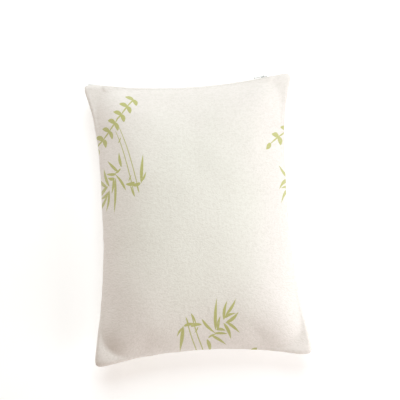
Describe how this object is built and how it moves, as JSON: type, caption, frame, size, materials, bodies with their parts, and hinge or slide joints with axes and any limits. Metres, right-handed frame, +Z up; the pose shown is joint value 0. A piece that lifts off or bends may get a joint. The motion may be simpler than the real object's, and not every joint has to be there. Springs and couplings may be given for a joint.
{
  "type": "bed pillow",
  "caption": "Plump rectangular bed pillow lying flat: zip-off knit cover with concave sides and pointed ears, over a zipped liner bag of shredded foam.",
  "frame": {"origin": "centre of the footprint, on the surface that the pillow lies on", "axes": "+Z up through the thickness, +Y along the length towards the zipped end, +X across the width"},
  "size_m": [0.4742, 0.6274, 0.165],
  "materials": {
    "cover_knit": "off-white cloque knit with a woven-in leaf pattern in olive green",
    "liner_cloth": "thin plain-woven white lining cloth",
    "thread": "off-white polyester overlock thread",
    "label": "blank white satin ribbon",
    "zip_tape": "off-white woven tape",
    "zip_coil": "off-white nylon coil",
    "zip_metal": "nickel-plated",
    "zip_enamel": "white enamel",
    "foam_cream": "open-cell memory foam, cream",
    "foam_white": "open-cell memory foam, white",
    "foam_tan": "open-cell memory foam, light yellow"
  },
  "bodies": {
    "pillow": {"cover_front": "cover_knit", "cover_back": "cover_knit", "cover_seam_thread": "thread", "care_label": "label", "cover_zip_tape_upper": "zip_tape", "cover_zip_tape_lower": "zip_tape", "cover_zip_coil_upper": "zip_coil", "cover_zip_coil_lower": "zip_coil", "cover_zip_top_stops": "zip_metal", "cover_zip_bottom_stop": "zip_metal", "liner_front": "liner_cloth", "liner_back": "liner_cloth", "liner_seam_thread": "thread", "liner_zip_tape_upper": "zip_tape", "liner_zip_tape_lower": "zip_tape", "liner_zip_coil_upper": "zip_coil", "liner_zip_coil_lower": "zip_coil", "liner_zip_top_stops": "zip_enamel", "liner_zip_bottom_stop": "zip_enamel", "foam_crumbs_large": "foam_cream", "foam_crumbs_medium": "foam_white", "foam_crumbs_small": "foam_tan"},
    "cover_slider": {"cover_zip_slider": "zip_metal"},
    "cover_pull": {"cover_zip_pull": "zip_metal"},
    "liner_slider": {"liner_zip_slider": "zip_enamel"}
  },
  "joints": [
    {"name": "cover_zip_run", "type": "hinge", "parent": "pillow", "child": "cover_slider", "pos_m": [0, 1.44056, 0.068], "axis": [0, 0, -1], "range_deg": [0, 17.25]},
    {"name": "cover_pull_swing", "type": "hinge", "parent": "cover_slider", "child": "cover_pull", "pos_m": [0.17178, 0.30846, 0.068], "axis": [0, 0, -1], "range_deg": [0, 175]},
    {"name": "liner_zip_run", "type": "hinge", "parent": "pillow", "child": "liner_slider", "pos_m": [0, 1.44056, 0.068], "axis": [0, 0, -1], "range_deg": [0, 13.58]}
  ]
}
